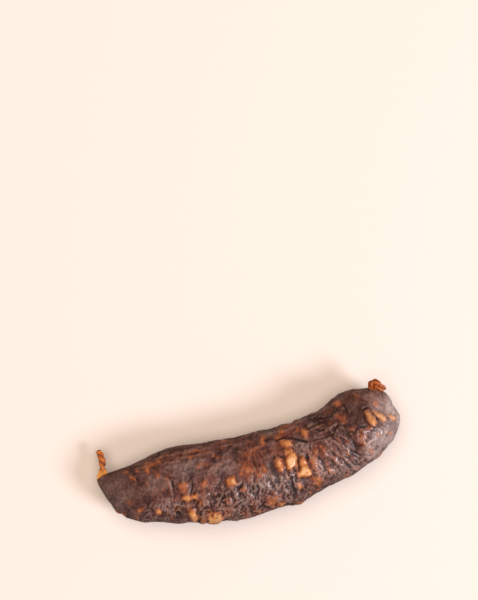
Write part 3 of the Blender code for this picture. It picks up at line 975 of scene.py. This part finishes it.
# %% [markdown]
# ## The skin takes its shape
#
# Fat gets small bumps of its own, and thin smears of it show between the pieces. Then wrinkles
# and fat are added up and move each vertex outwards, the outline is trimmed, and what would sink
# into the floor is pressed flat on it. A Displace modifier could do the first part, but not the
# trim.

# %% Displace and trim the skin
FAT_BUMPS = 0.20 * MM
THIN_FAT = 0.36  # how clearly the smears of fat between the pieces show
POLE_CALM = 5.0 * MM  # the relief fades out where the link is thinner than this
bump_noise = noise_at(bare, 1.5 * MM, 19)
fat_relief += FAT_BUMPS * bump_noise * smooth_step((fat - 0.45) / 0.3)
fat_relief = blur(fat_relief, 2, 2)
thin_fat = smooth_step((noise_at(bare, 3.2 * MM, 24) - 0.2) / 0.35)
thin_fat *= (1.0 - 0.5 * calm) * (1.0 - 0.7 * crumpled)
fat = np.maximum(fat, THIN_FAT * thin_fat)
fat = blur(fat, 2, 1) * (1.04 + 0.22 * bump_noise)
relief += crinkle * (1.0 - 0.5 * smooth_step((fat - 0.35) / 0.3))
casing_relief = relief.copy()
relief += fat_relief
relief *= smooth_step(radius / POLE_CALM)
skin = bare + bare_normal * relief[:, None]
trimmed = (skin - PLAN_SHIFT) / MM
trim(trimmed, HOLLOW_OUTLINE, 0, 1.0, -1.0)
trim(trimmed, LOW_OUTLINE, 0, -1.0, -1.0)
trim(trimmed, LEFT_OUTLINE, 1, -1.0, -40.0)
trim(trimmed, RIGHT_OUTLINE, 1, 1.0, 40.0)
skin = trimmed * MM + PLAN_SHIFT
skin[:, 2] = np.maximum(skin[:, 2], 0.0)
write_points(skin_mesh, skin)
farthest = np.abs(trimmed - (bare - PLAN_SHIFT) / MM).max()
print("skin moved by at most, mm:", round(float(farthest), 2))

# %% [markdown]
# ## Values for the material
#
# A material can read one number for each vertex, so the forms above can also steer the colour.
# Some parts are darker, warmer or covered by a pale bloom, as the photograph shows, and those are
# soft patches again. Part of the darker patches is painted shade, along the far rim and in valleys
# and pits. At the round end the pale bloom is also a painted sheen, and the warm rim on the low
# side is a painted glow of the window light.

# %% Dark, warm and pale parts, with painted shade and sheen among them
# Each patch: x, y, size along x, size along y, and how strong
# Partly darker meat, partly painted shade: the bands along the far rim, valleys, pits, slots
DARK_TONE_AND_PAINTED_SHADE = (
    (47.5, 9, 12, 14, 0.8), (33, 11, 11, 7, 0.9), (43.4, -4, 4.6, 14, 0.55),
    (-54, 4.5, 12, 11, 0.35), (-19, -9, 9, 4, 0.6), (12.4, -13, 3.4, 12, 0.35),
    (39, 4.5, 13, 4, 0.9), (-39.4, -11, 4, 5, 0.7), (9.5, 12, 5, 3, 0.5), (-8, 8, 5, 6, 0.5),
    (-60, 15, 26, 2.2, 0.5), (-38, 17, 30, 2.4, 0.45),
)
WARM = (
    (0, 4, 12, 14, 0.7), (-4, -1, 11, 12, 0.8), (17, 11, 14, 6, 0.8), (2, -17, 10, 9, 0.8),
    (-31, -9, 12, 12, 0.35), (-42, 2, 14, 20, 0.2), (-40, 16.5, 54, 3, 0.6), (24, -8, 10, 16, 0.7),
    (34, -7, 7, 12, 0.4), (-22, 13.5, 40, 6, 0.7), (50, 16.5, 10, 6, 0.6), (60, 12, 10, 10, 0.6),
    (48, -5, 8, 15, 0.8), (-18, -15, 10, 10, 0.35), (28, -3, 8, 10, 0.6), (-24, -2, 10, 8, 0.5),
    (12, 3, 12, 10, 0.7),
)
# Real pale bloom, and at the round end also a painted sheen where it faces the window
PALE_BLOOM_AND_PAINTED_SHEEN = (
    (66, 6, 7, 22, 1.5), (60, -6, 12, 8, 1.1), (57.5, -5.5, 15, 11, 0.9), (61, 6, 13, 18, 0.7),
    (38, -13, 16, 6, 0.35), (65, 4, 6, 20, 1), (-64, 5, 12, 16, 0.15), (20.5, 2, 8, 6, 0.25),
    (1, -10, 24, 8, 0.15), (-30, 8, 13, 8, 0.3), (26, -9, 5, 9, 0.5), (50.5, -9, 9, 7, 0.9),
    (-14, -16, 12, 8, 0.15), (-42, -6, 12, 6, 0.2), (-45, 5, 10, 9, 0.2), (-15, 4, 9, 6, 0.2),
)
print("patches of tint:", len(DARK_TONE_AND_PAINTED_SHADE + WARM + PALE_BLOOM_AND_PAINTED_SHEEN))

# %% [markdown]
# ## Dents and puckers
#
# A dent is where the skin lies lower than the mean of its surroundings, which the blur gives.
# Small and large dents are added up, and the material paints shade into the dents and highlights on
# the rises between them. Puckered says where painted glints, thin light strokes, show on the dry
# casing.

# %% Values on the skin
SMALL_DENT, LARGE_DENT = 0.09 * MM, 0.30 * MM  # depths that count as a full dent
hidden_tint = noise_at(bare, 12.0 * MM, 22)
# Painted glow: window light through the thin casing along the low rim, which faces the window
window_lit_low_rim = smooth_step((0.45 - bare_normal[:, 2]) / 0.3) * from_above * (seen[:, 1] < -2.0)
seen_relief = casing_relief + 0.35 * fat_relief
small_dent = (blur(seen_relief, 3, 3) - seen_relief) / SMALL_DENT
large_dent = (blur(seen_relief, 8, 8) - seen_relief) / LARGE_DENT
small_share = 0.3 + 0.35 * np.maximum(crumpled, across)
large_share = 0.45 + 0.15 * crumpled
values = {
    "fat": fat,
    "dent": np.clip(small_share * small_dent + large_share * large_dent, -1.0, 1.0),
    "crease": crease,
    "puckered": np.clip(crumpled * uneven + 0.6 * across + 0.36 + 0.06 * calm, 0.0, 1.0),
    "dark": patches(DARK_TONE_AND_PAINTED_SHADE) + 0.4 * hidden * smooth_step(hidden_tint),
    "warm": np.maximum(patches(WARM), 0.9 * window_lit_low_rim) + 0.6 * hidden * smooth_step(-hidden_tint),
    "bloom_and_painted_sheen": patches(PALE_BLOOM_AND_PAINTED_SHEEN) + 0.25 * hidden * smooth_step(noise_at(bare, 9.0 * MM, 23)),
}
for name, value in values.items():
    write_value(skin_mesh, name, value)
print("share in a dent:", round(float((values["dent"] > 0.3).mean()), 2))

# %% [markdown]
# ## Closing a piece
#
# The grid is still open: its long edges only touch underneath, and each short edge is drawn
# together to a point. Merging the doubles closes it, and each edge of a closed skin has exactly
# two faces, which is counted.

# %% Close the skin


def close_mesh(mesh, name, distance=0.002 * MM):
    """Merges the edges that meet, turns the faces outwards and returns the piece."""
    bm = bmesh.new()
    bm.from_mesh(mesh)
    bmesh.ops.remove_doubles(bm, verts=bm.verts, dist=distance)
    bmesh.ops.recalc_face_normals(bm, faces=bm.faces)
    bm.to_mesh(mesh)
    bm.free()
    mesh.shade_smooth()
    piece = bpy.data.objects.new(name, mesh)
    bpy.context.scene.collection.objects.link(piece)
    open_edges = 2 * len(mesh.edges) - sum(len(face.vertices) for face in mesh.polygons)
    print(name, "faces:", len(mesh.polygons), "open edges:", open_edges)
    return piece


skin_piece = close_mesh(skin_mesh, "skin")

# %% [markdown]
# ## Dried casing over meat
#
# Natural casing is a membrane of collagen. Dried, it is as thin and clear as parchment, so the
# colour is that of the meat and fat behind it, and the gloss is its own: satin. Where it puckers,
# its greyish glints are painted into the colour as thin light strokes. Meat is nearly black-brown,
# fat runs from russet, through amber, to pale straw where it is thick. Noises of a few millimetres
# mottle both, as large as the pieces that the meat was cut to.

# %% Meat and fat behind the casing
MEAT_PIECES, SPECKS, FLECKS = 4.5 * MM, 1.6 * MM, 1.0 * MM
# The real puckers are 0.2 to 0.5 mm apart, too fine for the picture, so these are drawn coarser
RIDGES, CRACKS, PUCKERS = 1.7 * MM, 2.6 * MM, 1.3 * MM

# Collagen over meat: the eye sees a dark, mottled brown with amber lumps behind a satin skin
skin_material, tree, shader = new_material("dried_casing_over_meat_and_fat")
place = add(tree, "ShaderNodeTexCoord", output="Object")
stored = {
    name: add(tree, "ShaderNodeAttribute", output="Fac", attribute_name=name) for name in values
}
mottle, speck, fleck = [
    add(tree, "ShaderNodeTexNoise", {"Vector": place, "Scale": 1 / size, "Detail": detail})
    for size, detail in ((MEAT_PIECES, 5.0), (SPECKS, 3.0), (FLECKS, 3.0))
]
# Puckers run across the link, so their pattern is drawn out that way
cross_grain = add(
    tree, "ShaderNodeMapping", {"Vector": place, "Scale": (1.9, 0.7, 0.7)}, output="Vector"
)
thin_ridges, thin_cracks = [
    add(
        tree, "ShaderNodeTexNoise",
        {"Vector": vector, "Scale": 1 / size, "Detail": detail, "Distortion": distortion},
        noise_type="RIDGED_MULTIFRACTAL",
    )
    for vector, size, detail, distortion in (
        (cross_grain, RIDGES, 2.0, 0.6), (place, CRACKS, 1.0, 0.8),
    )
]
print("values that the material reads:", list(stored))

# %% [markdown]
# ## From numbers to shares
#
# A tint needs a share from 0 to 1, and the stored numbers and the noises have ranges of their
# own. A Map Range node turns one into the other. They are all alike, so they come from a table.

# %% Shares of the tints
# Each range: what is read, from and to which value, and the share at either of them
RANGES = {
    "speck mottle": (speck, 0.2, 0.8, -0.14, 0.14),
    "fleck mottle": (fleck, 0.25, 0.75, -0.12, 0.12),
    "warm specks": (speck, 0.3, 0.7, 0.2, 0.8),
    "specks of bloom and sheen": (speck, 0.3, 0.6, 0.4, 0.72),
    "less on fat": (stored["fat"], 0.3, 0.6, 1.0, 0.3),
    "dark mottle": (mottle, 0.3, 0.7, 0.9, 0.6),
    # hollows and ridges: how strong the painted shade in dents and the painted highlight on ridges
    # are
    "hollows": (stored["dent"], 0.05, 1.0, 0.0, 0.85),
    "ridges": (stored["dent"], -1.0, -0.15, 0.42, 0.0),
    "ridges on fat": (stored["fat"], 0.3, 0.6, 1.0, 0.25),
    # cracks: painted shade in fine cracks
    "cracks": (thin_cracks, 0.8, 1.5, 0.0, 1.0),
    "cracks on fat": (stored["fat"], 0.3, 0.6, 0.45, 0.22),
    # strokes: painted glints on the puckers
    "strokes": (thin_ridges, 0.85, 1.25, 0.0, 1.0),
    "strokes on fat": (stored["fat"], 0.3, 0.6, 0.6, 0.3),
    "rough hollows": (stored["dent"], -0.2, 0.5, 0.24, 0.6),
    "rough dark parts": (stored["dark"], 0.2, 0.8, 0.3, 0.55),
    "ridge height": (thin_ridges, 0.0, 1.6, 0.0, 0.5),
}
RANGE_INPUTS = ("Value", "From Min", "From Max", "To Min", "To Max")
shares = {
    name: add(tree, "ShaderNodeMapRange", dict(zip(RANGE_INPUTS, numbers)), output="Result")
    for name, numbers in RANGES.items()
}
print("ranges:", len(shares))

# %% [markdown]
# ## Colours of meat and fat
#
# Both run through several colours, so each has a ramp. The meat's is read by the mottle alone. The
# fat's is read by how clearly the fat shows, with a little of the same mottle, because fat that
# lies deeper looks darker and redder through the casing.

# %% Ramps of meat and fat
small_mottle = add(
    tree, "ShaderNodeMath", {0: shares["speck mottle"], 1: shares["fleck mottle"]}, operation="ADD"
)
meat_value = add(tree, "ShaderNodeMath", {0: mottle, 1: small_mottle}, operation="ADD")
meat = add(
    tree, "ShaderNodeValToRGB", {"Fac": meat_value}, output="Color",
    stops=((0.26, linear("#331c1c")), (0.42, linear("#513332")), (0.56, linear("#644644")),
           (0.74, linear("#785b57"))),
)
fat_value = add(
    tree, "ShaderNodeMath", {0: small_mottle, 1: 0.9, 2: stored["fat"]}, operation="MULTIPLY_ADD"
)
fat_colour = add(
    tree, "ShaderNodeValToRGB", {"Fac": fat_value}, output="Color",
    stops=((0.20, linear("#6a3a29")), (0.40, linear("#8a4a2e")), (0.58, linear("#b06c3f")),
           (0.76, linear("#c88a50")), (0.95, linear("#dfb389"))),
)
fat_share = add(
    tree, "ShaderNodeMapRange", {"Value": fat_value, "From Min": 0.10, "From Max": 0.42},
    output="Result",
)
print("nodes up to the fat:", len(tree.nodes))

# %% [markdown]
# ## Tints in layers
#
# The real tints are laid first: meat, then the fat in it, then bloom, which has a painted sheen at
# the round end. On top go painted shade in the dark patches, hollows, cracks and creases, and
# painted highlights on ridges and puckers. Each tint is mixed over what is under it, by the product
# of its shares.

# %% Colour of the skin


def lay_tints(tree, colour, tints):
    """Mixes each tint over the colours under it: (the shares that are multiplied, the tint)."""
    for (share, *others), tint in tints:
        for other in others:
            share = add(tree, "ShaderNodeMath", {0: share, 1: other}, operation="MULTIPLY")
        tint = linear(tint) if isinstance(tint, str) else tint
        colour = add(
            tree, "ShaderNodeMix", {0: share, 6: colour, 7: tint}, output=2, data_type="RGBA"
        )
    return colour


skin_colour = lay_tints(tree, meat, (
    ((stored["warm"], shares["warm specks"]), "#87452f"),
    ((fat_share,), fat_colour),
    # pale bloom, with a painted sheen at the round end
    ((stored["bloom_and_painted_sheen"], shares["specks of bloom and sheen"], shares["less on fat"]), "#b6a5a4"),
    # darker meat, with painted shade along the far rim and in valleys and pits
    ((stored["dark"], shares["dark mottle"]), "#391b13"),
    # painted shade in the dents
    ((shares["hollows"],), "#1c0b08"),
    # painted highlight on the ridges
    ((shares["ridges"], shares["ridges on fat"]), "#a88c82"),
    # painted shade in fine cracks
    ((shares["cracks"], shares["cracks on fat"]), "#200e0b"),
    # painted glints, thin light strokes on the puckers
    ((shares["strokes"], stored["puckered"], shares["strokes on fat"]), "#b39c95"),
    # painted shade in the creases
    ((stored["crease"], 0.9), "#120605"),
))
tree.links.new(skin_colour, shader.inputs["Base Color"])
print("nodes in the skin's material:", len(tree.nodes))

# %% [markdown]
# ## Gloss and fine bumps
#
# Dried collagen has the same index of refraction as most plastics, about 1.5, which is the
# default. It is satin where it is stretched and dull in its hollows. Puckers that are finer than
# the mesh are left to a bump, which bends the light but not the surface.

# %% Gloss and bumps of the skin
BUMP_HEIGHT = 0.24 * MM
roughness = add(
    tree, "ShaderNodeMath", {0: shares["rough hollows"], 1: shares["rough dark parts"]},
    operation="MAXIMUM",
)
tree.links.new(roughness, shader.inputs["Roughness"])
shader.inputs["Specular IOR Level"].default_value = 0.6
pucker = add(tree, "ShaderNodeTexNoise", {"Vector": place, "Scale": 1 / PUCKERS, "Detail": 1.5})
wrinkles = add(
    tree, "ShaderNodeMath", {0: shares["ridge height"], 1: pucker}, operation="ADD"
)
fine_height = add(
    tree, "ShaderNodeMath", {0: shares["cracks"], 1: -0.5, 2: wrinkles}, operation="MULTIPLY_ADD"
)
bump = add(
    tree, "ShaderNodeBump", {"Height": fine_height, "Strength": 0.9, "Distance": BUMP_HEIGHT},
    output="Normal",
)
tree.links.new(bump, shader.inputs["Normal"])
skin_mesh.materials.append(skin_material)
print("finest bumps, mm:", round(PUCKERS / MM, 1))

# %% [markdown]
# ## The twisted ends
#
# At both ends the empty casing was twisted into a cord, and it dried clear and amber. At the
# pointed end it fans out from the skin as a flat web and narrows to a cord. At the round end it
# is folded over into a little knot of two strands. All are ropes: a ridged outline that turns as
# it goes along a curve.

# %% Routes and widths of the ropes
TAIL_ROUTE = (
    (-67.2, 11.4, 10), (-67.2, 13.4, 10.2), (-66.8, 15.6, 10.3), (-66.3, 17.8, 10),
    (-65.6, 20.9, 9.2), (-65.8, 23.7, 8.2), (-66.4, 25.9, 7.4),
)
# Half width and half thickness of the tail in millimetres at shares of its length: a flat web first
TAIL_WIDTH = (
    (0, 2.3), (0.12, 2.9), (0.2, 2.7), (0.34, 1.9), (0.45, 1.3), (0.55, 1.6), (0.66, 1.75),
    (0.77, 1.45), (0.87, 1.7), (1, 1.4),
)
TAIL_DEPTH = ((0, 0.7), (0.2, 0.8), (0.42, 1.1), (0.64, 1.6), (0.77, 1.2), (0.88, 1.5), (1, 1.2))
OUTER_STRAND = (
    (58.2, 17.2, 17.2), (57.5, 19, 18), (58, 20.4, 18.6), (59.3, 20.7, 18.9), (60.5, 19.7, 19),
    (61.6, 18.2, 18.8), (62.7, 16.9, 18.2), (63.5, 15.9, 17.5),
)
INNER_STRAND = (
    (58.4, 16.4, 17), (58.8, 18.3, 18.2), (59.6, 19, 19), (60.4, 18, 19), (61.2, 16.8, 18.6),
    (62.4, 15.5, 17.6),
)
OUTER_WIDTH = ((0, 1), (0.25, 1.25), (0.4, 1.15), (0.55, 1.35), (0.8, 1.2), (1, 0.8))
INNER_WIDTH = ((0, 1.1), (0.4, 1.3), (0.8, 1.1), (1, 0.7))
print("points of the routes:", len(TAIL_ROUTE), len(OUTER_STRAND), len(INNER_STRAND))

# %% [markdown]
# ## Winding a rope
#
# A twisted cord could be several strands, but here it is one empty casing with folds that wind
# round it. So the same kind of tube is used as for the skin, with a wavy outline that turns on its
# way. The grooves are stored for the painted shade in them.

# %% Tail and knot


def rope(name, route, half_widths, half_depths, turns, ridges, tips, web_end=-1.0, browned=0.0,
         rough=0.26):
    """A rope of casing along a route on the plan, with ridges that wind round it.

    Up to web_end, a share of its length, it is a flat web. Tips are the shares that round it off.
    """
    mesh, share, turn = grid_mesh(name, 150, 96)
    curve = smooth_curve(np.array(route) * MM + PLAN_SHIFT, 241)
    centre, along, side, upward = frame_of(curve, share, step=0.02)
    angle = math.tau * turn
    twist = turns * math.tau * np.maximum(share - web_end + 0.15, 0.0)
    wound = ridges * (angle - twist)
    groove = 0.5 - 0.5 * np.cos(wound)
    tiny = 0.5 - 0.5 * np.cos(3.0 * wound + 9.0 * share)
    round_part = 1.0 - 0.26 * groove**2 - 0.05 * tiny
    closing = np.sqrt(np.clip(np.minimum(share / tips[0], (1.0 - share) / tips[1]), 0.0, 1.0))
    wide = read_stations(half_widths, share) * MM * round_part * closing
    deep = read_stations(half_depths, share) * MM * round_part * closing
    sideways, upwards = side * np.cos(angle)[:, None], upward * np.sin(angle)[:, None]
    points = centre + sideways * wide[:, None] + upwards * deep[:, None]
    uneven = rough * MM * noise_at(points, 1.4 * MM, 31) * closing
    points += uneven[:, None] * (sideways + upwards)
    write_points(mesh, points)
    write_value(mesh, "groove", np.clip(groove**2 + 0.3 * tiny, 0.0, 1.0))
    write_value(mesh, "web", smooth_step((web_end - share) / 0.25))
    write_value(mesh, "browned", np.full(len(share), browned))
    return close_mesh(mesh, name, 0.0005 * MM)


tail_piece = rope("twisted_tail", TAIL_ROUTE, TAIL_WIDTH, TAIL_DEPTH, 2.2, 2, (0.05, 0.05), 0.5)
outer_piece = rope("outer_strand_of_knot", OUTER_STRAND, OUTER_WIDTH, OUTER_WIDTH, 0.35, 3,
                   (0.08, 0.12), browned=0.5, rough=0.45)
inner_piece = rope("inner_strand_of_knot", INNER_STRAND, INNER_WIDTH, INNER_WIDTH, 0.3, 3,
                   (0.08, 0.16), browned=0.5, rough=0.45)

# %% [markdown]
# ## Dried casing alone
#
# Here nothing dark is behind the membrane. The light goes in and comes back amber. The web is a
# single layer, so it is paler, and the light shining through it is painted in as a brighter amber.
# The knot is brown, where many layers lie on each other, and the grooves get a painted shade. Fine
# streaks follow from the folds of the casing.

# %% Material of the twists
CASING_STREAKS = 0.9 * MM
# Bare collagen, twisted while wet: the eye sees clear amber, painted shade in the grooves and a
# soft gloss
casing_material, tree, shader = new_material("dried_natural_casing")
place = add(tree, "ShaderNodeTexCoord", output="Object")
groove, web, browned = [
    add(tree, "ShaderNodeAttribute", output="Fac", attribute_name=name)
    for name in ("groove", "web", "browned")
]
painted_groove_shade = add(
    tree, "ShaderNodeMapRange", {"Value": web, "To Min": 0.75, "To Max": 0.25}, output="Result"
)
streaky = add(
    tree, "ShaderNodeTexNoise", {"Vector": place, "Scale": 1 / CASING_STREAKS, "Detail": 4.0}
)
amber = add(
    tree, "ShaderNodeValToRGB", {"Fac": streaky}, output="Color",
    stops=((0.3, linear("#a34f22")), (0.5, linear("#cb7335")), (0.7, linear("#e29a54"))),
)
casing_colour = lay_tints(tree, amber, (
    # a paler single layer, with the light shining through it painted in
    ((web, 0.9), "#f8b25c"),
    ((browned,), "#8a3a18"),
    # painted shade in the grooves, less on the web
    ((groove, painted_groove_shade), "#5e2410"),
))
tree.links.new(casing_colour, shader.inputs["Base Color"])
shader.inputs["Roughness"].default_value = 0.4
for piece in (tail_piece, outer_piece, inner_piece):
    piece.data.materials.append(casing_material)
print("nodes in the casing's material:", len(tree.nodes))

# %% [markdown]
# ## Hand over
#
# Each piece rides on the only body, and together they stand for the imported solid.

# %% Ride and replace
for piece in (skin_piece, tail_piece, outer_piece, inner_piece):
    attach(piece, "root")
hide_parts("sausage")
